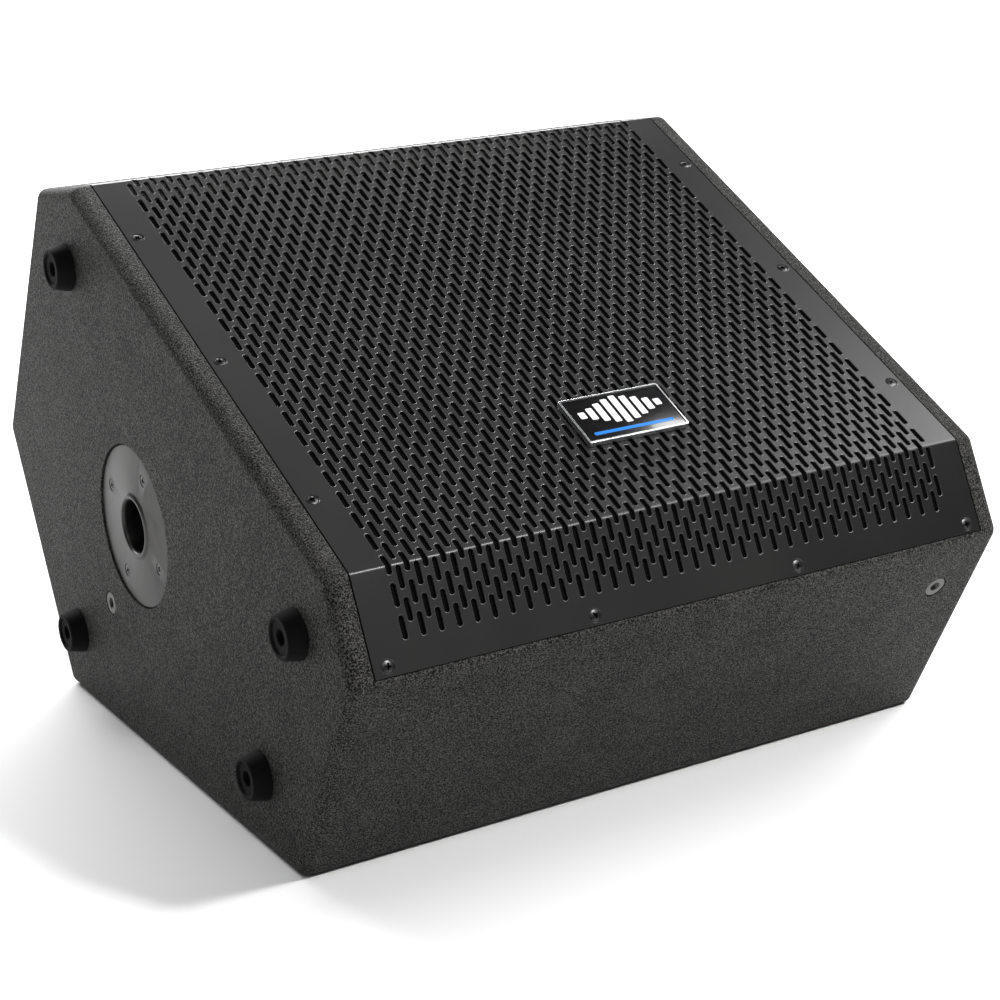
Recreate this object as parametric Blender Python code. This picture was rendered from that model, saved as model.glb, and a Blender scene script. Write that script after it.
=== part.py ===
"""Stage monitor wedge: a plywood cabinet with a folded grille and a coaxial driver.

Metres, +Z up. The origin is the centre of the flat underside. X runs across the width,
Y from the front (negative) to the rear, and the listener stands on the -Y side.
Run it with: blender --background --python part.py
"""

import bmesh
import bpy
from math import atan2, cos, pi, radians, sin
from mathutils import Matrix, Vector

MM = 0.001

# Cabinet
WIDTH = 480 * MM
PLY = 15 * MM                 # plywood of the shell
EDGE_ROUND = 7.5 * MM         # router round-over on the outer edges of both sides
TOUCH = 0.3 * MM              # gap left between pieces that meet

# Corners of the side panel, as (y, z)
TOP_REAR = Vector((175, 367)) * MM
TOP_FRONT = Vector((110, 377.5)) * MM
NOSE_TOP = Vector((-239, 208)) * MM
NOSE_BOTTOM = Vector((-267, 149.5)) * MM
FLOOR_FRONT = Vector((-188, 0)) * MM
FLOOR_REAR = Vector((188, 0)) * MM
REAR = Vector((276, 176)) * MM
OUTLINE = [TOP_REAR, TOP_FRONT, NOSE_TOP, NOSE_BOTTOM, FLOOR_FRONT, FLOOR_REAR, REAR]
TOP, FACE, NOSE, FRONT, FLOOR, LOW_REAR, UP_REAR = range(7)   # edges, named by the panel there

# Grille: sheet steel folded over the top, the face and the nose
SHEET = 1.5 * MM
REBATE = 2 * MM               # the depth that the grille lies in
GRILLE_SIDE_GAP = 1.0 * MM
GRILLE_RETURN = 20 * MM       # the fold over the top panel
GRILLE_FOOT = 3 * MM          # strip of the front panel left bare below the grille
FOLD_RADIUS = 3 * MM
FOAM = 5 * MM
FOAM_SIDE = 20 * MM           # the foam stops this far from each side of the grille
FOAM_TOP = 26 * MM            # it starts this far below the top fold
FOAM_DOWN_NOSE = 46 * MM      # and ends this far down the nose
RAIL_WIDTH = 19.5 * MM
RAIL_DEPTH = 15 * MM
RAIL_TOP = 30 * MM            # the rails start this far below the top fold
RAIL_DOWN_NOSE = 38 * MM      # and end this far down the nose
BRACE = (40 * MM, 18 * MM)    # width and height of a batten across the bottom panel
BRACE_FRONT = 60 * MM         # its front face is this far behind the middle

# Grille screws: distances from the centre line, down the face and up from the nose's lower edge
FACE_SCREW_X = 217 * MM
FACE_SCREW_DOWN = [62 * MM, 193.5 * MM, 325 * MM]
NOSE_SCREW_X = [-214.5 * MM, -75.5 * MM, 75.5 * MM, 214.5 * MM]
NOSE_SCREW_UP = 9.5 * MM

# Badge on the grille
BADGE_SIZE = (75.5 * MM, 41.5 * MM)
BADGE_PROUD = 3.5 * MM
BADGE_X = 9.8 * MM
BADGE_DOWN = 308 * MM
BEZEL = 1.8 * MM

# Baffle and driver
BAFFLE_SETBACK = 47 * MM
BAFFLE = 18 * MM
DRIVER_CUTOUT = 177 * MM

# Ports through the lower corners of the baffle
PORT_X = 174 * MM
PORT_DOWN = 180 * MM
PORT_BORE = 34 * MM
PORT_WALL = 3 * MM
PORT_LENGTH = 100 * MM

# Pole cup on the left side
CUP_AT = Vector((41.8, 161)) * MM
CUP_FLANGE = 55 * MM
CUP_FLANGE_THICK = 2.5 * MM
CUP_SUNK = 1.2 * MM
CUP_BORE = 18 * MM
CUP_WALL = 2 * MM
CUP_DEPTH = 85 * MM
CUP_SCREW_CIRCLE = 41.3 * MM
CUP_SCREW_TURN = radians(28)

# Rubber feet on the left side
FOOT_AT = [Vector(p) * MM for p in ((-140, 51), (-200, 163), (160, 50), (125.5, 321.5))]
FOOT_BASE = 16 * MM
FOOT_TIP = 13.1 * MM
FOOT_HIGH = 12 * MM
FOOT_HOLE = 5 * MM
FOOT_SCREW_SEAT = 5 * MM

# Threaded rigging inserts
INSERT_DISC = 7.8 * MM
INSERT_BARREL = 6 * MM
INSERT_BORE = 3.4 * MM
INSERT_SIDE_AT = Vector((94.8, 90.7)) * MM
INSERT_FRONT_X = 204 * MM
INSERT_FRONT_DOWN = 43 * MM

# Handle on the right side
HANDLE_AT = Vector((55, 178)) * MM
HANDLE_FLANGE = (180 * MM, 118 * MM)
HANDLE_POCKET = (152 * MM, 90 * MM)
HANDLE_DEPTH = 55 * MM
HANDLE_WALL = 2.5 * MM
HANDLE_GRIP = 12 * MM

# Connector plate on the upper rear panel
PLATE = (130 * MM, 84 * MM)
PLATE_THICK = 2 * MM
PLATE_HOLE = (104 * MM, 50 * MM)
SOCKET_PITCH = 46 * MM
SOCKET_FLANGE = (26 * MM, 31 * MM)
SOCKET_BARREL = 12 * MM
SOCKET_MOUTH = 11 * MM
SOCKET_POST = 5.5 * MM
SOCKET_POST_DOWN = 4.2 * MM     # the post stops this far below the flange's back
SOCKET_REACH = 22 * MM

ROUND = 32                    # sides of a large turned piece
SMALL_ROUND = 20
SCREW_ROUND = 10


def clear_scene():
    for item in list(bpy.data.objects):
        bpy.data.objects.remove(item, do_unlink=True)


# Outline geometry

def corner(index):
    return OUTLINE[index % len(OUTLINE)]


def along(edge):
    return (corner(edge + 1) - corner(edge)).normalized()


def outward(edge):
    step = along(edge)
    return Vector((step.y, -step.x))


def offset_line(edge, depth):
    """A point and a direction of an outline edge moved inwards by depth."""
    return corner(edge) - outward(edge) * depth, along(edge)


def meet(line_a, line_b):
    (p, u), (q, v) = line_a, line_b
    cross = u.x * v.y - u.y * v.x
    w = q - p
    return p + u * ((w.x * v.y - w.y * v.x) / cross)


def inset_corner(index, depth_before, depth_after):
    return meet(offset_line(index - 1, depth_before), offset_line(index, depth_after))


def edge_frame(edge, x, distance, depth=0.0):
    """A frame on an outline edge: Z points out, X runs across the cabinet."""
    normal = outward(edge)
    place = corner(edge) + along(edge) * distance - normal * depth
    turn = Matrix.Rotation(atan2(-normal.x, normal.y), 4, "X")
    return Matrix.Translation((x, place.x, place.y)) @ turn


def side_frame(side, place, depth=0.0):
    """A frame on a side panel: Z points out of the cabinet."""
    turn = Matrix.Rotation(side * pi / 2, 4, "Y")
    return Matrix.Translation((side * (WIDTH / 2 - depth), place.x, place.y)) @ turn


# Materials

FINISHES = {
    "textured paint": ("2b2b2b", 0.75, 0.0),
    "raw plywood": ("b08d5f", 0.8, 0.0),
    "powder coat": ("303030", 0.5, 0.2),
    "acoustic foam": ("101010", 0.95, 0.0),
    "black screw": ("3a3a3a", 0.4, 0.8),
    "rubber": ("232323", 0.85, 0.0),
    "satin steel": ("55565a", 0.45, 0.7),
    "zinc": ("7c7c78", 0.4, 0.8),
    "chrome": ("b9bcc0", 0.15, 1.0),
    "gloss black": ("0b0b0c", 0.15, 0.0),
    "moulded plastic": ("1c1c1d", 0.55, 0.0),
    "cast aluminium": ("4a4c4f", 0.5, 0.6),
    "paper cone": ("1f1f1f", 0.9, 0.0),
    "treated cloth": ("3b3128", 0.85, 0.0),
    "ferrite": ("2c2d30", 0.6, 0.1),
    "titanium": ("9a9ca0", 0.3, 1.0),
    "circuit board": ("2c5a34", 0.5, 0.0),
}


def make_material(name, finish):
    hex_code, roughness, metallic = FINISHES[finish]
    material = bpy.data.materials.new(name)
    material.use_nodes = True
    shader = material.node_tree.nodes["Principled BSDF"]
    levels = [(int(hex_code[i:i + 2], 16) / 255) ** 2.2 for i in (0, 2, 4)]
    shader.inputs["Base Color"].default_value = (*levels, 1.0)
    shader.inputs["Roughness"].default_value = roughness
    shader.inputs["Metallic"].default_value = metallic
    material.diffuse_color = (*levels, 1.0)
    return material


# Solids

def face_out(bm):
    bmesh.ops.remove_doubles(bm, verts=bm.verts[:], dist=0.001 * MM)
    bmesh.ops.recalc_face_normals(bm, faces=bm.faces[:])
    if bm.calc_volume(signed=True) < 0:
        bmesh.ops.reverse_faces(bm, faces=bm.faces[:])


def to_mesh(name, bm):
    face_out(bm)
    mesh = bpy.data.meshes.new(name)
    bm.to_mesh(mesh)
    bm.free()
    mesh.shade_smooth()
    mesh.set_sharp_from_angle(angle=radians(35))
    return mesh


def place(name, mesh, finish, frame=None):
    piece = bpy.data.objects.new(name, mesh)
    if not mesh.materials:
        mesh.materials.append(make_material(name + "_finish", finish))
    if frame is not None:
        piece.matrix_world = frame
    bpy.context.scene.collection.objects.link(piece)
    return piece


def prism(outline, low, high):
    """An outline in (y, z) stretched along X from low to high."""
    bm = bmesh.new()
    ring = [bm.verts.new((low, p[0], p[1])) for p in outline]
    cap = bm.faces.new(ring)
    grown = bmesh.ops.extrude_face_region(bm, geom=[cap])["geom"]
    moved = [v for v in grown if isinstance(v, bmesh.types.BMVert)]
    bmesh.ops.translate(bm, verts=moved, vec=(high - low, 0, 0))
    return bm


def turned(profile, steps=ROUND):
    """A closed profile of (radius, z) points turned about Z."""
    bm = bmesh.new()
    ring = [bm.verts.new((r, 0, z)) for r, z in profile]
    for i, vert in enumerate(ring):
        after = ring[(i + 1) % len(ring)]
        if vert.co.x > 0 or after.co.x > 0:
            bm.edges.new((vert, after))
    parts = bm.verts[:] + bm.edges[:]
    bmesh.ops.spin(bm, geom=parts, cent=(0, 0, 0), axis=(0, 0, 1), angle=2 * pi, steps=steps,
                   use_merge=True)
    return bm


def box(size, low, high, round_off=0.0, segments=3):
    """A block in its own frame, its upright corners rounded if asked."""
    bm = bmesh.new()
    bmesh.ops.create_cube(bm, size=1.0)
    bmesh.ops.scale(bm, verts=bm.verts[:], vec=(size[0], size[1], high - low))
    bmesh.ops.translate(bm, verts=bm.verts[:], vec=(0, 0, (low + high) / 2))
    if round_off:
        upright = [e for e in bm.edges if abs(e.verts[0].co.z - e.verts[1].co.z) > 1e-6]
        bmesh.ops.bevel(bm, geom=upright, offset=round_off, offset_type="OFFSET", affect="EDGES",
                        segments=segments, profile=0.5, material=-1)
    return bm


def hidden(name, bm, frame):
    """A solid that only shapes another piece."""
    bm.transform(frame)
    tool = bpy.data.objects.new(name, to_mesh(name, bm))
    tool.hide_render = True
    tool.display_type = "WIRE"
    bpy.context.scene.collection.objects.link(tool)
    return tool


def combine(piece, operation, bm, frame):
    number = len(piece.modifiers) + 1
    modifier = piece.modifiers.new(f"{operation.lower()}_{number}", "BOOLEAN")
    modifier.operation = operation
    modifier.solver = "EXACT"
    modifier.object = hidden(f"{piece.name}_tool_{number}", bm, frame)


def cut(piece, solids):
    """Cut solids, given as (bmesh, frame) pairs in world space, out of a piece."""
    for solid, frame in solids:
        combine(piece, "DIFFERENCE", solid, frame)


def drill(radius, low, high, steps=SMALL_ROUND):
    return turned([(0, low), (radius, low), (radius, high), (0, high)], steps)


# Screws and their holes

def screw_profile(head, shank, length, spread=0.0):
    """A countersunk screw with its flat top at z = 0; spread widens it into its own hole."""
    sink = head - shank
    top = 0.0 if spread == 0 else 5 * MM
    points = [(0, top), (head + spread, top)]
    if spread:
        points.append((head + spread, 0.0))
    points += [(shank + spread, -sink), (shank + spread, -length - spread), (0, -length - spread)]
    return points


GRILLE_SCREW = dict(head=3.6 * MM, shank=1.9 * MM, length=12 * MM)
CUP_SCREW = dict(head=4.0 * MM, shank=1.9 * MM, length=11 * MM)
FOOT_SCREW = dict(head=4.3 * MM, shank=1.9 * MM, length=14 * MM)
GRILLE_SCREW_SUNK = 0.4 * MM


def grille_screw_frames():
    frames = []
    for x in (-FACE_SCREW_X, FACE_SCREW_X):
        for down in FACE_SCREW_DOWN:
            frames.append(edge_frame(FACE, x, down, GRILLE_SCREW_SUNK))
    nose_length = (NOSE_BOTTOM - NOSE_TOP).length
    for x in NOSE_SCREW_X:
        frames.append(edge_frame(NOSE, x, nose_length - NOSE_SCREW_UP, GRILLE_SCREW_SUNK))
    return frames


def cup_screw_frames():
    frames = []
    for quarter in range(4):
        angle = CUP_SCREW_TURN + quarter * pi / 2
        spot = CUP_AT + Vector((cos(angle), sin(angle))) * CUP_SCREW_CIRCLE
        frames.append(side_frame(-1, spot, CUP_SUNK + 0.2 * MM))
    return frames


def foot_screw_frames():
    return [side_frame(-1, spot, -FOOT_SCREW_SEAT) for spot in FOOT_AT]


def screw_hole(kind):
    return turned(screw_profile(**kind, spread=TOUCH), SCREW_ROUND)


def make_screws():
    sets = (("grille_screw", GRILLE_SCREW, grille_screw_frames(), "black screw"),
            ("pole_cup_screw", CUP_SCREW, cup_screw_frames(), "black screw"),
            ("foot_screw", FOOT_SCREW, foot_screw_frames(), "black screw"))
    for name, kind, frames, finish in sets:
        mesh = to_mesh(name, turned(screw_profile(**kind), SCREW_ROUND))
        for number, frame in enumerate(frames, 1):
            place(f"{name}_{number}", mesh, finish, frame)


# Cabinet

def make_side(side, name):
    inner = side * (WIDTH / 2 - PLY)
    outer = side * WIDTH / 2
    bm = prism(OUTLINE, inner, outer)
    rim = [e for e in bm.edges if all(abs(v.co.x - outer) < 1e-6 for v in e.verts)]
    bmesh.ops.bevel(bm, geom=rim, offset=EDGE_ROUND, offset_type="OFFSET", affect="EDGES",
                    segments=4, profile=0.5, material=-1)
    return place(name, to_mesh(name, bm), "textured paint")


def make_sides():
    left = make_side(-1, "side_panel_left")
    recess = CUP_FLANGE + 1.2 * MM
    recess_floor = -(CUP_SUNK + CUP_FLANGE_THICK + TOUCH)
    tube = CUP_BORE + CUP_WALL + TOUCH
    stepped = turned([(0, MM), (recess, MM), (recess, recess_floor), (tube, recess_floor),
                      (tube, -2 * PLY), (0, -2 * PLY)])
    cuts = [(stepped, side_frame(-1, CUP_AT))]
    cuts += [(screw_hole(CUP_SCREW), frame) for frame in cup_screw_frames()]
    cuts += [(screw_hole(FOOT_SCREW), frame) for frame in foot_screw_frames()]
    cuts.append((insert_hole(), side_frame(-1, INSERT_SIDE_AT)))
    cut(left, cuts)

    right = make_side(1, "side_panel_right")
    pocket = [size + 2 * (HANDLE_WALL + TOUCH) for size in HANDLE_POCKET]
    frame = side_frame(1, HANDLE_AT) @ Matrix.Rotation(pi / 2, 4, "Z")
    hole = box(pocket, -2 * PLY, MM, 20 * MM)
    cut(right, [(hole, frame), (insert_hole(), side_frame(1, INSERT_SIDE_AT))])


def panel_outline(edge):
    """A panel along one outline edge, mitred into its neighbours."""
    half = TOUCH / 2
    start, end = edge % 7, (edge + 1) % 7
    outer_a = corner(start) + along(edge) * half
    outer_b = corner(end) - along(edge) * half
    inner_a = inset_corner(start, PLY, PLY) + along(edge) * half
    inner_b = inset_corner(end, PLY, PLY) - along(edge) * half
    return [outer_a, outer_b, inner_b, inner_a]


def front_outline():
    """The front panel: its top end is rebated for the grille's lower edge."""
    tail = panel_outline(FRONT)
    step_up = -along(NOSE)
    lip = NOSE_BOTTOM + step_up * GRILLE_FOOT
    floor_of_rebate = lip - outward(NOSE) * REBATE
    tip = meet((floor_of_rebate, step_up), offset_line(FRONT, PLY))
    return [NOSE_BOTTOM, tail[1], tail[2], tip, floor_of_rebate, lip]


def top_outline():
    """The top panel: rebated for the grille's fold at its front end."""
    tail = panel_outline(TOP)
    edge_of_rebate = TOP_FRONT - along(TOP) * (GRILLE_RETURN + TOUCH)
    floor_of_rebate = edge_of_rebate - outward(TOP) * REBATE
    nose = inset_corner(1, REBATE, REBATE)
    tip = meet(offset_line(FACE, REBATE), offset_line(TOP, PLY))
    return [tail[0], edge_of_rebate, floor_of_rebate, nose, tip, tail[3]]


def baffle_outline():
    front, back = BAFFLE_SETBACK, BAFFLE_SETBACK + BAFFLE
    low, high = PLY + TOUCH, PLY + TOUCH
    corners = []
    for depth in (front, back):
        corners.append((meet(offset_line(FACE, depth), offset_line(FRONT, low)),
                        meet(offset_line(FACE, depth), offset_line(UP_REAR, high))))
    return [corners[0][0], corners[0][1], corners[1][1], corners[1][0]]


def rail_outline():
    """A batten that follows the face and the nose behind the grille's side margins."""
    start = REBATE + TOUCH
    deep = start + RAIL_DEPTH
    foot = along(NOSE) * RAIL_DOWN_NOSE
    return [TOP_FRONT + along(FACE) * RAIL_TOP - outward(FACE) * start,
            inset_corner(2, start, start),
            NOSE_TOP + foot - outward(NOSE) * start,
            NOSE_TOP + foot - outward(NOSE) * deep,
            inset_corner(2, deep, deep),
            TOP_FRONT + along(FACE) * RAIL_TOP - outward(FACE) * deep]


def make_panels():
    reach = WIDTH / 2 - PLY - TOUCH
    outlines = {
        "bottom_panel": panel_outline(FLOOR),
        "front_panel": front_outline(),
        "lower_rear_panel": panel_outline(LOW_REAR),
        "upper_rear_panel": panel_outline(UP_REAR),
        "top_panel": top_outline(),
    }
    panels = {}
    for name, outline in outlines.items():
        mesh = to_mesh(name, prism(outline, -reach, reach))
        panels[name] = place(name, mesh, "textured paint")

    screws = [(screw_hole(GRILLE_SCREW), frame) for frame in grille_screw_frames()[6:]]
    cut(panels["front_panel"], screws + [(insert_hole(), front_insert_frame())])
    plate_hole = box(PLATE_HOLE, -2 * PLY, MM, 4 * MM)
    cut(panels["upper_rear_panel"], [(plate_hole, plate_frame())])

    board = prism(baffle_outline(), -reach, reach)
    baffle = place("baffle", to_mesh("baffle", board), "raw plywood")
    frame = driver_frame()
    holes = [(drill(DRIVER_CUTOUT, -2 * BAFFLE, MM, ROUND), frame)]
    for side in (-1, 1):
        hole = drill(PORT_BORE + PORT_WALL + TOUCH, -2 * BAFFLE, MM, ROUND)
        holes.append((hole, port_frame(side)))
    cut(baffle, holes)

    for side, name in ((-1, "grille_rail_left"), (1, "grille_rail_right")):
        ends = sorted((side * reach, side * (reach - RAIL_WIDTH)))
        rail = place(name, to_mesh(name, prism(rail_outline(), *ends)), "raw plywood")
        frames = grille_screw_frames()[:3] if side < 0 else grille_screw_frames()[3:6]
        cut(rail, [(screw_hole(GRILLE_SCREW), frame) for frame in frames])


def make_brace():
    """A batten across the cabinet that stiffens the bottom panel."""
    low = PLY + TOUCH
    high = low + BRACE[1]
    front, back = BRACE_FRONT, BRACE_FRONT + BRACE[0]
    outline = [(front, low), (back, low), (back, high), (front, high)]
    reach = WIDTH / 2 - PLY - TOUCH
    place("floor_brace", to_mesh("floor_brace", prism(outline, -reach, reach)), "raw plywood")


# Grille

def folded_path(depth):
    """The grille's path at a depth below its outer face, its two folds drawn as short arcs."""
    start = TOP_FRONT - along(TOP) * GRILLE_RETURN - outward(TOP) * depth
    end = NOSE_BOTTOM - along(NOSE) * (GRILLE_FOOT + 0.4 * MM) - outward(NOSE) * depth
    path = [start]
    for edge in (TOP, FACE):
        radius = FOLD_RADIUS - depth
        centre = inset_corner(edge + 1, FOLD_RADIUS, FOLD_RADIUS)
        first, last = outward(edge), outward(edge + 1)
        for step in range(5):
            blend = first.lerp(last, step / 4).normalized()
            path.append(centre + blend * radius)
    path.append(end)
    return path


def make_grille():
    half = WIDTH / 2 - PLY - GRILLE_SIDE_GAP
    outline = folded_path(0.0) + folded_path(SHEET)[::-1]
    grille = place("grille", to_mesh("grille", prism(outline, -half, half)), "powder coat")
    cut(grille, [(screw_hole(GRILLE_SCREW), frame) for frame in grille_screw_frames()])

    skin = SHEET + TOUCH
    foam_half = half - FOAM_SIDE
    face_start = TOP_FRONT + along(FACE) * FOAM_TOP
    nose_end = NOSE_TOP + along(NOSE) * FOAM_DOWN_NOSE
    outline = [face_start - outward(FACE) * skin,
               inset_corner(2, skin, skin),
               nose_end - outward(NOSE) * skin,
               nose_end - outward(NOSE) * (skin + FOAM),
               inset_corner(2, skin + FOAM, skin + FOAM),
               face_start - outward(FACE) * (skin + FOAM)]
    foam = prism(outline, -foam_half, foam_half)
    place("grille_foam", to_mesh("grille_foam", foam), "acoustic foam")


def make_badge():
    frame = edge_frame(FACE, BADGE_X, BADGE_DOWN, -TOUCH)
    outer = box(BADGE_SIZE, 0, BADGE_PROUD, 1.5 * MM)
    bezel = place("badge_bezel", to_mesh("badge_bezel", outer), "chrome", frame)
    inside = [size - 2 * BEZEL for size in BADGE_SIZE]
    cut(bezel, [(box(inside, 0.8 * MM, 2 * BADGE_PROUD, MM), frame)])
    face = [size - 2 * TOUCH for size in inside]
    block = box(face, 0.8 * MM + TOUCH, BADGE_PROUD - 0.5 * MM, 0.8 * MM)
    place("badge_plate", to_mesh("badge_plate", block), "gloss black", frame)


# Pole cup, feet, inserts

def make_pole_cup():
    back = -CUP_FLANGE_THICK
    lip = 1.6 * MM
    tube = CUP_BORE + CUP_WALL
    end = -CUP_DEPTH
    edge = 0.4 * MM
    profile = [(CUP_FLANGE, back), (CUP_FLANGE, -edge), (CUP_FLANGE - edge, 0),
               (CUP_BORE + 5 * MM, 0), (CUP_BORE + 3.6 * MM, lip * 0.8), (CUP_BORE + 2.4 * MM, lip),
               (CUP_BORE + 0.8 * MM, lip * 0.6), (CUP_BORE, -1.5 * MM), (CUP_BORE, end + CUP_WALL),
               (0, end + CUP_WALL), (0, end), (tube, end), (tube, back)]
    frame = side_frame(-1, CUP_AT, CUP_SUNK)
    cup = place("pole_cup", to_mesh("pole_cup", turned(profile)), "satin steel", frame)
    cut(cup, [(screw_hole(CUP_SCREW), where) for where in cup_screw_frames()])


def make_feet():
    dish = 1.5 * MM
    rim = 1.6 * MM
    shank = FOOT_SCREW["shank"] + TOUCH
    profile = [(FOOT_BASE, TOUCH), (FOOT_TIP + 0.5 * MM, FOOT_HIGH - MM),
               (FOOT_TIP - 0.4 * MM, FOOT_HIGH),
               (FOOT_TIP - rim, FOOT_HIGH), (FOOT_TIP - rim - MM, FOOT_HIGH - dish),
               (FOOT_HOLE, FOOT_HIGH - dish), (FOOT_HOLE, FOOT_SCREW_SEAT + 0.1 * MM),
               (FOOT_SCREW["head"] + TOUCH, FOOT_SCREW_SEAT),
               (shank, FOOT_SCREW_SEAT - FOOT_SCREW["head"] + FOOT_SCREW["shank"]), (shank, TOUCH)]
    mesh = to_mesh("foot", turned(profile, 24))
    for number, spot in enumerate(FOOT_AT, 1):
        place(f"foot_{number}", mesh, "rubber", side_frame(-1, spot))


def insert_hole():
    return turned([(0, MM), (INSERT_DISC + TOUCH, MM), (INSERT_DISC + TOUCH, -1.5 * MM),
                   (INSERT_BARREL + TOUCH, -1.5 * MM), (INSERT_BARREL + TOUCH, -2 * PLY),
                   (0, -2 * PLY)], SMALL_ROUND)


def front_insert_frame():
    return edge_frame(FRONT, INSERT_FRONT_X, INSERT_FRONT_DOWN)


def make_inserts():
    """A flanged steel sleeve with a threaded bore, let into the panel."""
    profile = [(INSERT_DISC, -1.2 * MM), (INSERT_DISC, -0.4 * MM), (INSERT_DISC - 0.4 * MM, 0),
               (INSERT_BORE, 0), (INSERT_BORE, -PLY - 2 * MM), (INSERT_BARREL, -PLY - 2 * MM),
               (INSERT_BARREL, -1.2 * MM)]
    mesh = to_mesh("rigging_insert", turned(profile, SMALL_ROUND))
    frames = {"left": side_frame(-1, INSERT_SIDE_AT), "right": side_frame(1, INSERT_SIDE_AT),
              "front": front_insert_frame()}
    for where, frame in frames.items():
        place(f"rigging_insert_{where}", mesh, "zinc", frame)


# Handle and connector plate

def make_handle():
    """A moulded pocket let into the right side, with a round grip across it."""
    frame = side_frame(1, HANDLE_AT) @ Matrix.Rotation(pi / 2, 4, "Z")
    flange = box(HANDLE_FLANGE, TOUCH, 3 * MM, 24 * MM)
    dish = place("handle_dish", to_mesh("handle_dish", flange), "moulded plastic", frame)
    outer = [size + 2 * HANDLE_WALL for size in HANDLE_POCKET]
    combine(dish, "UNION", box(outer, -HANDLE_DEPTH, 2 * MM, 20 * MM), frame)
    inside = box(HANDLE_POCKET, -HANDLE_DEPTH + HANDLE_WALL, 2 * PLY, 18 * MM)
    cut(dish, [(inside, frame)])

    grip_length = HANDLE_POCKET[0] - 2 * TOUCH
    grip = drill(HANDLE_GRIP, -grip_length / 2, grip_length / 2)
    turn = Matrix.Translation((0, 0, -HANDLE_GRIP)) @ Matrix.Rotation(pi / 2, 4, "Y")
    place("handle_grip", to_mesh("handle_grip", grip), "rubber", frame @ turn)


def plate_frame():
    length = (TOP_REAR - REAR).length
    return edge_frame(UP_REAR, 0, length / 2)


def socket_frames():
    lift = Matrix.Translation((0, 0, PLATE_THICK + 2 * TOUCH))
    shifts = [Matrix.Translation((side * SOCKET_PITCH / 2, 0, 0)) for side in (-1, 1)]
    return [plate_frame() @ shift @ lift for shift in shifts]


def make_connectors():
    frame = plate_frame()
    block = box(PLATE, TOUCH, TOUCH + PLATE_THICK, 6 * MM)
    plate = place("connector_plate", to_mesh("connector_plate", block), "satin steel", frame)
    holes = [(drill(SOCKET_BARREL + TOUCH, -PLY, PLY), where) for where in socket_frames()]
    cut(plate, holes)
    for name, where in zip(("input_socket", "link_socket"), socket_frames()):
        block = box(SOCKET_FLANGE, 0, 2.5 * MM, 3 * MM)
        flange = place(name, to_mesh(name, block), "moulded plastic", where)
        combine(flange, "UNION", drill(SOCKET_BARREL, -SOCKET_REACH, MM), where)
        floor = -SOCKET_REACH + 4 * MM
        ring = turned([(SOCKET_POST, floor), (SOCKET_MOUTH, floor), (SOCKET_MOUTH, PLY), (0, PLY),
                       (0, -SOCKET_POST_DOWN), (SOCKET_POST, -SOCKET_POST_DOWN)], SMALL_ROUND)
        cut(flange, [(ring, where)])


# Driver

def driver_frame():
    low, high = baffle_outline()[:2]
    middle = (low + high) / 2
    normal = outward(FACE)
    turn = Matrix.Rotation(atan2(-normal.x, normal.y), 4, "X")
    return Matrix.Translation((0, middle.x, middle.y)) @ turn


def port_frame(side):
    return driver_frame() @ Matrix.Translation((side * PORT_X, -PORT_DOWN, 0))


def millimetres(points):
    return [(r * MM, z * MM) for r, z in points]


def arc(centre, radius, start, end, steps):
    """Points of (radius, z) on an arc, its angles in degrees."""
    points = []
    for step in range(steps + 1):
        angle = radians(start + (end - start) * step / steps)
        points.append((centre[0] + radius * cos(angle), centre[1] + radius * sin(angle)))
    return points


def bowed_line(start, end, sag, steps):
    """A line between two (radius, z) points, bowed by sag at its middle."""
    points = []
    for step in range(steps + 1):
        t = step / steps
        r = start[0] + (end[0] - start[0]) * t
        z = start[1] + (end[1] - start[1]) * t
        points.append((r, z + sag * 4 * t * (1 - t)))
    return points


def place_turned(name, points, finish, steps=ROUND):
    mesh = to_mesh(name, turned(millimetres(points), steps))
    return place(name, mesh, finish, driver_frame())


def make_basket():
    # flange on the baffle, then six arms down to the seat of the top plate
    flange = [(193.5, 0.3), (193.5, 7), (192.5, 8), (165, 8), (165, 4.5)]
    inside = [(171, 2), (171, -14), (111, -80), (62, -80)]
    outside = [(62, -86), (116, -86), (116, -82), (176, -16), (176, 0.3)]
    basket = place_turned("woofer_basket", flange + inside + outside, "cast aluminium")
    windows = []
    for number in range(6):
        turn = Matrix.Rotation(number * pi / 3, 4, "Z")
        window = box((70 * MM, 66 * MM), -72 * MM, -22 * MM)
        shift = Matrix.Translation((145 * MM, 0, 0))
        windows.append((window, driver_frame() @ turn @ shift))
    cut(basket, windows)


def make_suspension():
    # one half roll of treated cloth, glued to the basket outside and the cone inside
    middle, roll, skin = (158.5, 9.3), 8.5, 1.0
    over = arc(middle, roll, 0, 180, 4)
    under = arc(middle, roll - skin, 187, -7, 4)
    surround = [(184, 8.3), (184, 9.3)] + over + [(144, 9.3), (144, 8.3)] + under
    place_turned("woofer_surround", surround, "treated cloth")

    # a corrugated disc from the voice coil's former to the basket's seat
    inner, outer, level, wave, cloth = 39, 92, -77.6, 1.3, 0.8
    folds = 6
    top = [(inner, level)]
    for fold in range(1, folds):
        radius = inner + (outer - inner) * fold / folds
        top.append((radius, level + 0.2 + wave * (-1) ** fold))
    top += [(outer, level), (104, level - 1)]
    spider = [(r, z + cloth) for r, z in top] + top[::-1]
    place_turned("woofer_spider", spider, "treated cloth")


def make_cone():
    # a bowed paper cone on a straight former, with the winding at the former's foot
    rim, neck, thick, bow = (149.5, 7.9), (39.2, -52), 1.6, -9
    front = bowed_line(rim, neck, bow, 6)
    back = bowed_line((neck[0], neck[1] - thick), (rim[0], rim[1] - thick), bow, 6)
    former = [(38, -52), (38, -106), (39.4, -106), (39.4, -92), (38.7, -92), (38.7, -53.6)]
    place_turned("woofer_cone", front + former + back[1:], "paper cone")


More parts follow.
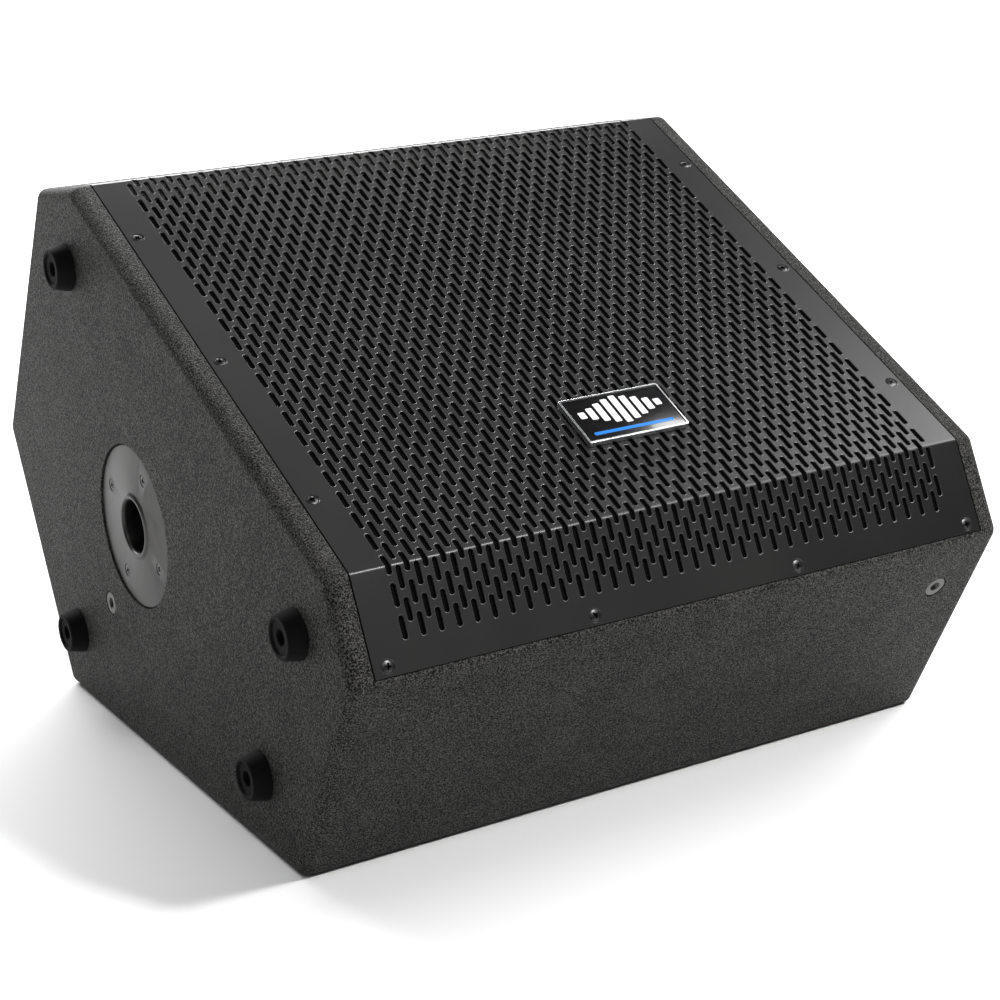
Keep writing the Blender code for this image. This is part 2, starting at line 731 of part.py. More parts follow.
def make_woofer_motor():
    top_plate = [(40.3, -86.3), (105, -86.3), (105, -96), (40.3, -96)]
    magnet = [(56, -96.3), (110, -96.3), (110, -118), (56, -118)]
    # the back plate carries a hollow pole that the horn passes through
    back_plate = [(27, -128), (105, -128), (105, -118.3), (37.1, -118.3), (37.1, -86.5),
                  (35.5, -85), (27, -85)]
    place_turned("woofer_top_plate", top_plate, "zinc")
    place_turned("woofer_magnet", magnet, "ferrite")
    place_turned("woofer_back_plate", back_plate, "zinc")


def make_tweeter():
    sides = 24
    throat = [(19, -128), (24, -86), (28.5, -62), (34, -42), (45, -20), (57, -6), (61, -4.6)]
    skin = [(61, -6.6), (57, -8.2), (46.6, -22.5), (35.6, -44), (30.2, -63), (26.5, -86), (26.5, -128)]
    place_turned("hf_horn", throat + skin, "moulded plastic", sides)
    motor = [(18, -128.3), (55, -128.3), (55, -158), (33, -158), (33, -152), (18, -146)]
    place_turned("hf_motor", motor, "ferrite", sides)

    # a domed foil with a flat rim
    centre, radius, foil = (0, -178), 34, 1.0
    outer = [(0, centre[1] + radius)] + arc(centre, radius, 79, 35, 4)
    inner = arc(centre, radius - foil, 35, 79, 4) + [(0, centre[1] + radius - foil)]
    rim = [(31, -159.2), (31, -160.2)]
    place_turned("hf_diaphragm", outer + rim + inner, "titanium", sides)

    outside = [(36, -158.3), (55, -158.3), (55, -180), (50, -186), (0, -186)]
    inside = [(0, -183), (46, -183), (50, -178), (50, -163), (36, -163)]
    place_turned("hf_cover", outside + inside, "moulded plastic", sides)


def make_ports():
    outer = PORT_BORE + PORT_WALL
    profile = [(PORT_BORE + 2 * MM, 0), (outer, 0), (outer, -PORT_LENGTH), (PORT_BORE, -PORT_LENGTH),
               (PORT_BORE, -5 * MM), (PORT_BORE + 0.6 * MM, -2 * MM)]
    mesh = to_mesh("port_tube", turned(profile, 24))
    for side, name in ((-1, "port_tube_left"), (1, "port_tube_right")):
        place(name, mesh, "moulded plastic", port_frame(side))


def make_crossover():
    """A board on standoffs above the floor, with one air-cored coil as part of it."""
    size, thick = (110 * MM, 80 * MM), 1.6 * MM
    coil_radius, coil_high = 17 * MM, 24 * MM
    frame = Matrix.Translation((-110 * MM, -60 * MM, PLY + 6 * MM))
    board = place("crossover_board", to_mesh("crossover_board", box(size, 0, thick)), "circuit board",
                  frame)
    coil_at = frame @ Matrix.Translation((-28 * MM, 12 * MM, 0))
    combine(board, "UNION", drill(coil_radius, MM, coil_high), coil_at)


clear_scene()
make_sides()
make_panels()
make_brace()
make_grille()
make_badge()
make_pole_cup()
make_feet()
make_inserts()
make_screws()
make_handle()
make_connectors()
make_basket()
make_suspension()
make_cone()
make_woofer_motor()
make_tweeter()
make_ports()
make_crossover()
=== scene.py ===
from math import atan2, cos, pi, radians, sin, tan

import bmesh
import bpy
from mathutils import Matrix, Vector


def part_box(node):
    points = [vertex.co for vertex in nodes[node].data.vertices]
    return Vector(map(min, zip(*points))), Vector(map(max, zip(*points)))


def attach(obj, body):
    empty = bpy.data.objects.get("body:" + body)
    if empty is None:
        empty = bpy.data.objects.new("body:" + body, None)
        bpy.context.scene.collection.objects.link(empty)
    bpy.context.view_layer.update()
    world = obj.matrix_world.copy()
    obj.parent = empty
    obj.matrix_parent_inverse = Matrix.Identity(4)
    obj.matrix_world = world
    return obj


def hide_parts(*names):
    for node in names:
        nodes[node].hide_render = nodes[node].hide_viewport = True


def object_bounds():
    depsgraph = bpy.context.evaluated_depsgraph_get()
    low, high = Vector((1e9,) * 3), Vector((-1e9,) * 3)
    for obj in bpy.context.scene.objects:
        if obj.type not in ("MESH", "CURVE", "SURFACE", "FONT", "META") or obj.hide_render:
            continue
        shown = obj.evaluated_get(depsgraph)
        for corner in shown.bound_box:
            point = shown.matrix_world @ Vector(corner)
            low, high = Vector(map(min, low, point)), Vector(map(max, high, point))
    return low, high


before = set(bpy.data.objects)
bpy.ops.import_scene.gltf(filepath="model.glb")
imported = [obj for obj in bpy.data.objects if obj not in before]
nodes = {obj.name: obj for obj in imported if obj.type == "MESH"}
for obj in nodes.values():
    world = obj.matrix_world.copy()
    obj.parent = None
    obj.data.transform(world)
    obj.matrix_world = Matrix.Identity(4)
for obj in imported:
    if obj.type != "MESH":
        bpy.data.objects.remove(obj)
cadLow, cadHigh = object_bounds()
mm = 0.001
print("frame loaded with", len(nodes), "nodes")


# Camera: stands at the front left, a little above the wedge
view = dict(place=(-0.76892, -1.31541, 0.64183), turn=(71.9255, 1.3677, -31.3484), lens=82.348)

cameraData = bpy.data.cameras.new("camera")
cameraData.lens = view["lens"]
cameraData.sensor_width = 36
camera = bpy.data.objects.new("camera", cameraData)
camera.location = view["place"]
camera.rotation_euler = [radians(angle) for angle in view["turn"]]
bpy.context.scene.collection.objects.link(camera)
bpy.context.scene.camera = camera
bpy.context.scene.view_settings.view_transform = "Standard"


# Materials

def toLinear(hexCode):
    levels = [int(hexCode[i:i + 2], 16) / 255 for i in (0, 2, 4)]
    return [c / 12.92 if c <= 0.04045 else ((c + 0.055) / 1.055) ** 2.4 for c in levels] + [1.0]


def addNode(tree, kind, inputs=None, into=None, output=0, stops=None, **settings):
    # inputs maps a socket to a value or to another node's output, stops are a ramp's spots and colours,
    # and into is a socket that the result feeds
    node = tree.nodes.new(kind)
    for key, value in settings.items():
        setattr(node, key, value)
    for element, (spot, colour) in zip(node.color_ramp.elements if stops else (), stops or ()):
        element.position = spot
        element.color = toLinear(colour)
    for socket, value in (inputs or {}).items():
        if isinstance(value, bpy.types.NodeSocket):
            tree.links.new(value, node.inputs[socket])
        else:
            node.inputs[socket].default_value = value
    if into is not None:
        tree.links.new(node.outputs[output], into)
    return node.outputs[output]


def startMaterial(name, colour, roughness, metallic=0.0, **more):
    material = bpy.data.materials.new(name)
    material.use_nodes = True
    tree = material.node_tree
    shader = tree.nodes["Principled BSDF"].inputs
    shader["Base Color"].default_value = toLinear(colour)
    shader["Roughness"].default_value = roughness
    shader["Metallic"].default_value = metallic
    for socket, value in more.items():
        shader[socket.replace("_", " ")].default_value = value
    return material, tree, shader, addNode(tree, "ShaderNodeTexCoord", output="Object")


finish = dict(
    paintGrit=0.95,     # mm between the paint's specks
    paintDepth=0.26,
    coatGrit=0.9,       # mm, orange peel of the powder coat
    rubberGrain=1.2,
    foamCell=1.6,
)


def texturedPaint(name, colours=("020202", "5a5957")):
    # Water-based textured cabinet paint, rolled on plywood: hard matt specks that glint at their tips,
    # and lighter specks in the base colour that are painted glints
    material, tree, shader, place = startMaterial(name, colours[0], 0.6, Specular_IOR_Level=0.1)
    grit = 1 / (finish["paintGrit"] * mm)
    specks = addNode(tree, "ShaderNodeTexVoronoi", {"Vector": place, "Scale": grit * 0.8})
    lumps = addNode(tree, "ShaderNodeTexNoise", {"Vector": place, "Scale": grit, "Detail": 2.0,
                                                 "Roughness": 0.6})
    broad = addNode(tree, "ShaderNodeTexNoise", {"Vector": place, "Scale": 30.0, "Detail": 4.0})
    height = addNode(tree, "ShaderNodeMath", {0: lumps, 1: specks}, operation="SUBTRACT")
    # a faint broad tone that varies at random, plus the lumps; the ramp's light end, the second colour,
    # is a painted glint on each speck
    toneAndPaintedGlints = addNode(tree, "ShaderNodeMath", {0: broad, 1: 0.08, 2: lumps}, operation="MULTIPLY_ADD")
    addNode(tree, "ShaderNodeValToRGB", {"Fac": toneAndPaintedGlints}, shader["Base Color"],
            stops=((0.47, colours[0]), (0.74, colours[1])))
    addNode(tree, "ShaderNodeMapRange", {"Value": lumps, "To Min": 0.8, "To Max": 0.4},
            shader["Roughness"])
    addNode(tree, "ShaderNodeBump", {"Height": height, "Distance": finish["paintDepth"] * mm},
            shader["Normal"])
    return material


def powderCoat(name, colours):
    # Semi-matt black powder coat on steel: smooth with a faint orange peel, a soft broad sheen
    material, tree, shader, place = startMaterial(name, colours[0], 0.4)
    peel = addNode(tree, "ShaderNodeTexNoise", {"Vector": place, "Detail": 3.0,
                                                "Scale": 1 / (finish["coatGrit"] * mm)})
    broad = addNode(tree, "ShaderNodeTexNoise", {"Vector": place, "Scale": 9.0, "Detail": 3.0})
    addNode(tree, "ShaderNodeValToRGB", {"Fac": broad}, shader["Base Color"],
            stops=((0.35, colours[0]), (0.65, colours[1])))
    addNode(tree, "ShaderNodeMapRange", {"Value": broad, "To Min": 0.32, "To Max": 0.4},
            shader["Roughness"])
    addNode(tree, "ShaderNodeBump", {"Height": peel, "Distance": 0.03 * mm}, shader["Normal"])
    return material


def mouldedRubber(name):
    # Moulded black rubber: dull, with a dusty bloom
    material, tree, shader, place = startMaterial(name, "060606", 0.8, Specular_IOR_Level=0.15)
    grain = addNode(tree, "ShaderNodeTexNoise", {"Vector": place, "Detail": 5.0,
                                                 "Scale": 1 / (finish["rubberGrain"] * mm)})
    bloom = addNode(tree, "ShaderNodeTexNoise", {"Vector": place, "Scale": 60.0, "Detail": 4.0})
    addNode(tree, "ShaderNodeValToRGB", {"Fac": bloom}, shader["Base Color"],
            stops=((0.35, "040404"), (0.65, "0a0a0a")))
    addNode(tree, "ShaderNodeMapRange", {"Value": grain, "To Min": 0.65, "To Max": 0.9},
            shader["Roughness"])
    addNode(tree, "ShaderNodeBump", {"Height": grain, "Distance": 0.06 * mm}, shader["Normal"])
    return material


def openCellFoam(name):
    # Reticulated black speaker foam: open pores that swallow the light; the colour darkens towards each
    # cell's middle, a painted shade inside the pores
    material, tree, shader, place = startMaterial(name, "030303", 0.95, Specular_IOR_Level=0.1)
    cells = addNode(tree, "ShaderNodeTexVoronoi", {"Vector": place,
                                                   "Scale": 1 / (finish["foamCell"] * mm)})
    # darker at each cell's middle, where the bump dips: painted shade in the pores
    addNode(tree, "ShaderNodeValToRGB", {"Fac": cells}, shader["Base Color"],
            stops=((0.1, "010101"), (0.7, "060606")))
    addNode(tree, "ShaderNodeBump", {"Height": cells, "Distance": 0.6 * mm}, shader["Normal"])
    return material


def wornMetal(name, colours, roughness, scratch=0.0, metallic=1.0):
    # Plated or blackened steel: fine scratches and rubbed patches break up its sheen
    material, tree, shader, place = startMaterial(name, colours[0], roughness, metallic)
    stretched = addNode(tree, "ShaderNodeMapping", {"Vector": place, "Scale": (900.0, 900.0, 60.0),
                                                    "Rotation": (0.6, 0.2, 0.4)})
    lines = addNode(tree, "ShaderNodeTexNoise", {"Vector": stretched, "Scale": 1.0, "Detail": 3.0})
    rubbed = addNode(tree, "ShaderNodeTexNoise", {"Vector": place, "Scale": 70.0, "Detail": 5.0})
    addNode(tree, "ShaderNodeValToRGB", {"Fac": rubbed}, shader["Base Color"],
            stops=((0.3, colours[0]), (0.7, colours[1])))
    addNode(tree, "ShaderNodeMapRange", {"Value": rubbed, "To Min": roughness - 0.08,
                                         "To Max": roughness + 0.1}, shader["Roughness"])
    addNode(tree, "ShaderNodeBump", {"Height": lines, "Distance": scratch * mm}, shader["Normal"])
    return material


def mouldedPlastic(name, colours=("161617", "1f1f20"), grain=0.7, roughness=0.5):
    # Injection-moulded ABS with a spark-eroded grain: an even, slightly soft sheen
    material, tree, shader, place = startMaterial(name, colours[0], roughness)
    bumps = addNode(tree, "ShaderNodeTexNoise", {"Vector": place, "Scale": 1 / (grain * mm),
                                                 "Detail": 3.0})
    broad = addNode(tree, "ShaderNodeTexNoise", {"Vector": place, "Scale": 25.0, "Detail": 2.0})
    addNode(tree, "ShaderNodeValToRGB", {"Fac": broad}, shader["Base Color"],
            stops=((0.35, colours[0]), (0.65, colours[1])))
    addNode(tree, "ShaderNodeMapRange", {"Value": broad, "To Min": roughness - 0.06,
                                         "To Max": roughness + 0.06}, shader["Roughness"])
    addNode(tree, "ShaderNodeBump", {"Height": bumps, "Distance": 0.05 * mm}, shader["Normal"])
    return material


def glossPaint(name, colour, roughness=0.15):
    # Printed and lacquered badge face: flat colour under a clear gloss with faint handling marks
    material, tree, shader, place = startMaterial(name, colour, roughness, Coat_Weight=0.6,
                                                  Coat_Roughness=0.08)
    marks = addNode(tree, "ShaderNodeTexNoise", {"Vector": place, "Scale": 120.0, "Detail": 6.0})
    addNode(tree, "ShaderNodeMapRange", {"Value": marks, "To Min": roughness,
                                         "To Max": roughness + 0.12}, shader["Roughness"])
    return material


def plywood(name):
    # Birch plywood, sawn and left bare inside the cabinet: long grain with darker streaks
    material, tree, shader, place = startMaterial(name, "b58f60", 0.75)
    stretched = addNode(tree, "ShaderNodeMapping", {"Vector": place, "Scale": (12.0, 160.0, 160.0)})
    grain = addNode(tree, "ShaderNodeTexNoise", {"Vector": stretched, "Scale": 1.0, "Detail": 6.0,
                                                 "Distortion": 0.4})
    addNode(tree, "ShaderNodeValToRGB", {"Fac": grain}, shader["Base Color"],
            stops=((0.35, "8f6a40"), (0.65, "c39c6b")))
    addNode(tree, "ShaderNodeBump", {"Height": grain, "Distance": 0.15 * mm}, shader["Normal"])
    return material


def fibrous(name, colours, roughness=0.85, fibre=1.0, depth=0.1):
    # Pressed paper pulp or resin-dipped cloth: short fibres, no shine
    material, tree, shader, place = startMaterial(name, colours[0], roughness)
    fibres = addNode(tree, "ShaderNodeTexNoise", {"Vector": place, "Scale": 1 / (fibre * mm),
                                                  "Detail": 5.0, "Roughness": 0.7, "Distortion": 1.5})
    addNode(tree, "ShaderNodeValToRGB", {"Fac": fibres}, shader["Base Color"],
            stops=((0.35, colours[0]), (0.65, colours[1])))
    addNode(tree, "ShaderNodeMapRange", {"Value": fibres, "To Min": roughness - 0.1,
                                         "To Max": roughness + 0.05}, shader["Roughness"])
    addNode(tree, "ShaderNodeBump", {"Height": fibres, "Distance": depth * mm}, shader["Normal"])
    return material


paint = texturedPaint("texturedCabinetPaint")
coat = powderCoat("powderCoatedSteel", ("0b0b0b", "121211"))
# a lighter coat colour for the turned-in rims of the slots and screw dishes: a painted highlight on every
# rim
coatRimHighlight = powderCoat("powderCoatPaintedRimHighlight", ("252525", "302f2f"))
rubber = mouldedRubber("mouldedRubber")
foam = openCellFoam("openCellFoam")
blackScrew = wornMetal("blackenedSteelScrew", ("343435", "565656"), 0.36, 0.01)
flangeSteel = wornMetal("blackenedSteelFlange", ("373737", "4b4a49"), 0.42, 0.08)
zincPlate = wornMetal("zincPlatedSteel", ("4c4c4b", "626260"), 0.42, 0.03)
chromePlate = wornMetal("chromePlating", ("d6d8da", "e6e7e8"), 0.3, 0.0)
castMetal = wornMetal("castAluminium", ("6c6e70", "8a8c8e"), 0.48, 0.05)
titanium = wornMetal("titaniumFoil", ("8c8e92", "a6a8ac"), 0.3, 0.01)
ferrite = mouldedPlastic("sinteredFerrite", ("232427", "303134"), 1.0, 0.6)
plastic = mouldedPlastic("mouldedAbs")
badgeBlack = glossPaint("badgeLacquerBlack", "09090b")
badgeWhite = glossPaint("badgePrintWhite", "f2f2f2", 0.25)
badgeBlue = glossPaint("badgePrintBlue", "1f7fe0", 0.25)
bareWood = plywood("birchPlywood")
pulp = fibrous("paperPulpCone", ("141415", "222224"))
resinCloth = fibrous("resinDippedCloth", ("3a2d20", "57452f"), 0.8, 1.2, 0.2)
board = fibrous("glassFibreBoard", ("1f5a30", "2c7a42"), 0.5, 2.0, 0.02)
brass = wornMetal("brassContact", ("b58a3c", "cfa556"), 0.3, 0.01)
print("materials made")


# Shapes shared by several pieces

cabinet = dict(
    width=480, ply=15, sideRound=7.5, cornerRound=8, touch=0.3,
    # corners of the side, as (y, z)
    topRear=(175, 367), topFront=(110, 377.5), noseTop=(-239, 208), noseBottom=(-267, 149.5),
    floorFront=(-188, 0), floorRear=(188, 0), rear=(276, 176),
    rebate=2, lip=3, topReturn=20,
)
cornerNames = ("topRear", "topFront", "noseTop", "noseBottom", "floorFront", "floorRear", "rear")
corners = [Vector(cabinet[name]) * mm for name in cornerNames]
top, face, nose, front, floorEdge, lowRear, upRear = range(7)    # edge n runs from corner n
halfWidth = cabinet["width"] / 2 * mm
ply = cabinet["ply"] * mm
touch = cabinet["touch"] * mm
reach = halfWidth - ply - 0.02 * mm       # the paint closes the joints between panels


def corner(index):
    return corners[index % 7]


def along(edge):
    return (corner(edge + 1) - corner(edge)).normalized()


def outward(edge):
    step = along(edge)
    return Vector((step.y, -step.x))


def turnToward(normal):
    # turns local Z onto a direction in the YZ plane
    return Matrix.Rotation(atan2(-normal.x, normal.y), 4, "X")


def edgeFrame(edge, x, distance, depth=0.0):
    spot = corner(edge) + along(edge) * distance - outward(edge) * depth
    return Matrix.Translation((x, spot.x, spot.y)) @ turnToward(outward(edge))


def sideFrame(side, spot, depth=0.0):
    return (Matrix.Translation((side * (halfWidth - depth), spot[0], spot[1]))
            @ Matrix.Rotation(side * pi / 2, 4, "Y"))


def insetCorner(index, depth):
    a, b = outward(index - 1), outward(index)
    return corner(index) - (a + b) * (depth / (1 + a.dot(b)))


def centreOf(node):
    low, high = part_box(node)
    return (low + high) / 2


def prism(outline, low, high):
    bm = bmesh.new()
    ring = bm.faces.new([bm.verts.new((low, y, z)) for y, z in outline])
    grown = bmesh.ops.extrude_face_region(bm, geom=[ring])["geom"]
    moved = [v for v in grown if isinstance(v, bmesh.types.BMVert)]
    bmesh.ops.translate(bm, verts=moved, vec=(high - low, 0, 0))
    bmesh.ops.recalc_face_normals(bm, faces=bm.faces[:])
    return bm


def turned(profile, steps=64):
    # spins (radius, z) points in millimetres about Z
    bm = bmesh.new()
    ring = [bm.verts.new((r * mm, 0, z * mm)) for r, z in profile]
    for a, b in zip(ring, ring[1:] + ring[:1]):
        if a.co.x > 0 or b.co.x > 0:
            bm.edges.new((a, b))
    bmesh.ops.spin(bm, geom=bm.verts[:] + bm.edges[:], cent=(0, 0, 0), axis=(0, 0, 1), angle=2 * pi,
                   steps=steps, use_merge=True)
    bmesh.ops.remove_doubles(bm, verts=bm.verts[:], dist=1e-6)
    bmesh.ops.recalc_face_normals(bm, faces=bm.faces[:])
    return bm


def roundEdges(bm, edges, radius, segments):
    bmesh.ops.bevel(bm, geom=edges, offset=radius, offset_type="OFFSET", affect="EDGES",
                    segments=segments, profile=0.5, material=-1)


def block(size, low, high, cornerRadius=0.0, rimRadius=0.0, segments=8):
    # an upright block in millimetres, its upright corners and then its top rim rounded
    bm = bmesh.new()
    bmesh.ops.create_cube(bm, size=1.0)
    bmesh.ops.scale(bm, verts=bm.verts[:], vec=(size[0] * mm, size[1] * mm, (high - low) * mm))
    bmesh.ops.translate(bm, verts=bm.verts[:], vec=(0, 0, (low + high) / 2 * mm))
    if cornerRadius:
        upright = [e for e in bm.edges if abs(e.verts[0].co.z - e.verts[1].co.z) > 1e-6]
        roundEdges(bm, upright, cornerRadius * mm, segments)
    if rimRadius:
        rim = [e for e in bm.edges if all(v.co.z > high * mm - 1e-6 for v in e.verts)]
        roundEdges(bm, rim, rimRadius * mm, 3)
    return bm


def smoothMesh(mesh, angle=32):
    mesh.shade_smooth()
    mesh.set_sharp_from_angle(angle=radians(angle))


def addPiece(name, bm, material, replaced=(), place=None, angle=32):
    if place is not None:
        bm.transform(place)
    mesh = bpy.data.meshes.new(name)
    bm.to_mesh(mesh)
    bm.free()
    smoothMesh(mesh, angle)
    mesh.materials.append(material)
    piece = bpy.data.objects.new(name, mesh)
    bpy.context.scene.collection.objects.link(piece)
    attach(piece, "cabinet")
    if replaced:
        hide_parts(*replaced)
    return piece


def carve(piece, cutters, operation="DIFFERENCE", angle=32):
    # cuts each bmesh out of a piece, or joins it on, and keeps the result as the piece's own mesh
    tools = []
    for bm in cutters:
        mesh = bpy.data.meshes.new("cutter")
        bm.to_mesh(mesh)
        bm.free()
        tool = bpy.data.objects.new("cutter", mesh)
        bpy.context.scene.collection.objects.link(tool)
        tools.append(tool)
        modifier = piece.modifiers.new("carve", "BOOLEAN")
        modifier.operation = operation
        modifier.solver = "EXACT"
        modifier.object = tool
    shaped = piece.evaluated_get(bpy.context.evaluated_depsgraph_get())
    mesh = bpy.data.meshes.new_from_object(shaped)
    mesh.name = piece.name
    piece.modifiers.clear()
    piece.data = mesh
    smoothMesh(mesh, angle)
    for tool in tools:
        bpy.data.objects.remove(tool)


def moved(bm, place):
    bm.transform(place)
    return bm


def countersink(place, wide, narrow, sink, deep, steps=24):
    profile = [(0, 1), (wide, 1), (wide, 0), (narrow, -sink), (narrow, -deep), (0, -deep)]
    return moved(turned(profile, steps), place)


# Screws: a countersunk head with a cross recess, and a threaded shank

screwKinds = dict(
    grille=dict(head=3.6, crown=0.5, shank=1.9, long=12, recess=2.5),
    cup=dict(head=4.0, crown=0.35, shank=1.9, long=11, recess=2.6),
    foot=dict(head=4.3, crown=0.4, shank=1.9, long=14, recess=2.7),
    plate=dict(head=3.2, crown=0.0, shank=1.5, long=9, recess=1.9),
)


thread = dict(pitch=1.2, root=0.72, tip=1.4)      # the root is a share of the shank's radius


def screwShape(head, crown, shank, long, recess):
    # the crowned head's middle is at z = 0, and the countersink starts below its thin edge
    edge = -crown - 0.4
    root = shank * thread["root"]
    profile = [(0, 0), (head * 0.45, -crown * 0.2), (head * 0.8, -crown * 0.65), (head, -crown - 0.15),
               (head, edge), (shank, edge - (head - shank))]
    z = edge - (head - shank) - thread["pitch"] / 2
    while z > -long + thread["tip"] + 0.8:
        profile += [(root, z), (shank, z - 0.5), (root, z - 1.0)]
        z -= thread["pitch"]
    profile += [(shank * 0.6, -long + thread["tip"]), (0, -long)]
    screw = addPiece("screwModel", turned(profile, 24), blackScrew)
    arms = []
    for turn in (0, pi / 2):
        arm = block((recess * 2, recess * 0.5), -recess * 1.3, 1.0)
        tip = [v for v in arm.verts if v.co.z < 0]
        bmesh.ops.scale(arm, verts=tip, vec=(0.4, 0.85, 1))
        arms.append(moved(arm, Matrix.Rotation(turn, 4, "Z")))
    carve(screw, arms)
    mesh = screw.data
    bpy.data.objects.remove(screw)
    return mesh


def addScrew(name, kind, place, turn, replaced=()):
    bm = bmesh.new()
    bm.from_mesh(screwMeshes[kind])
    spun = place @ Matrix.Rotation(radians(turn), 4, "Z")
    return addPiece(name, bm, blackScrew, replaced, place=spun)


screwMeshes = {kind: screwShape(**values) for kind, values in screwKinds.items()}
print("screws shaped")


# Grille: slots are punched in a flat sheet, which is then folded over the top and the nose

grille = dict(
    halfWidth=224, sheet=1.5, foldRadius=3, topReturn=20, foot=3.4,
    columns=68, columnPitch=5.955, rowPitch=18.79, lowestSlot=36,     # below the nose's fold
    slotWide=3.8, slotLong=14.2, rim=0.4, rimDrop=0.2, slotSides=10,
    dish=4.6, dishFloor=3.8, dishDrop=0.8,
    faceScrewX=217, faceScrewDown=(62, 193.5, 325),
    noseScrewX=(-214.5, -75.5, 75.5, 214.5), noseScrewUp=9.5,
)
faceLength = (corner(nose) - corner(face)).length
noseLength = (corner(front) - corner(nose)).length


def screwSpots():
    # (x, distance down the unfolded sheet)
    spots = [(side * grille["faceScrewX"] * mm, down * mm)
             for side in (-1, 1) for down in grille["faceScrewDown"]]
    low = faceLength + noseLength - grille["noseScrewUp"] * mm
    return spots + [(x * mm, low) for x in grille["noseScrewX"]]


def rollIn(bm, edges, centre, share, drop, down):
    # turns a hole's edge inwards, then drops it straight through the sheet
    for shrink, fall in ((share, drop), (1, down - drop)):
        grown = bmesh.ops.extrude_edge_only(bm, edges=edges)["geom"]
        verts = [v for v in grown if isinstance(v, bmesh.types.BMVert)]
        edges = [e for e in grown if isinstance(e, bmesh.types.BMEdge)]
        # the first, turned-in ring of faces takes material 1, the lighter coat colour: a painted rim
        # highlight
        for wall in grown:
            if isinstance(wall, bmesh.types.BMFace) and shrink < 1:
                wall.material_index = 1
        bmesh.ops.scale(bm, verts=verts, vec=(shrink, shrink, 1), space=Matrix.Translation(-centre))
        bmesh.ops.translate(bm, verts=verts, vec=(0, 0, -fall))
    return edges


def addOutline(bm, size, centre, rows=1):
    # the bare edges of a rectangle, its long sides in as many lengths as there are rows
    rest = bmesh.ops.create_grid(bm, x_segments=1, y_segments=rows, size=0.5)["verts"]
    middle = [e for v in rest for e in v.link_edges if not e.is_boundary]
    bmesh.ops.dissolve_edges(bm, edges=list(set(middle)), use_verts=False)
    bmesh.ops.scale(bm, verts=rest, vec=(size[0], size[1], 1))
    bmesh.ops.translate(bm, verts=rest, vec=centre)
    sheetFace = rest[0].link_faces[0]
    border = list(sheetFace.edges)
    bmesh.ops.delete(bm, geom=[sheetFace], context="FACES_ONLY")
    return border


def slotCell():
    # one slot with a rolled-in rim and straight walls, in the middle of a cell of the sheet
    bm = bmesh.new()
    wide, long = grille["slotWide"] / 2 * mm, grille["slotLong"] / 2 * mm
    rim, sheet = grille["rim"] * mm, grille["sheet"] * mm
    bmesh.ops.create_circle(bm, segments=grille["slotSides"], radius=wide + rim)
    outer = bm.edges[:]
    inner = rollIn(bm, outer, Vector(), wide / (wide + rim), grille["rimDrop"] * mm, sheet)
    for side in (-1, 1):
        half = [v for v in bm.verts if v.co.y * side > 1e-7]
        bmesh.ops.translate(bm, verts=half, vec=(0, side * (long - wide), 0))
    size = (grille["columnPitch"] * mm, grille["rowPitch"] * mm)
    for edges, lift in ((outer, 0), (inner, -sheet)):
        border = addOutline(bm, size, (0, 0, lift), 2)
        bmesh.ops.triangle_fill(bm, edges=edges + border, use_beauty=True, normal=(0, 0, 1))
    return bm


def repeatParts(bm, parts, count, step):
    whole = list(parts)
    for number in range(1, count):
        copy = bmesh.ops.duplicate(bm, geom=parts)["geom"]
        verts = [v for v in copy if isinstance(v, bmesh.types.BMVert)]
        bmesh.ops.translate(bm, verts=verts, vec=Vector(step) * number)
        whole += copy
    return whole


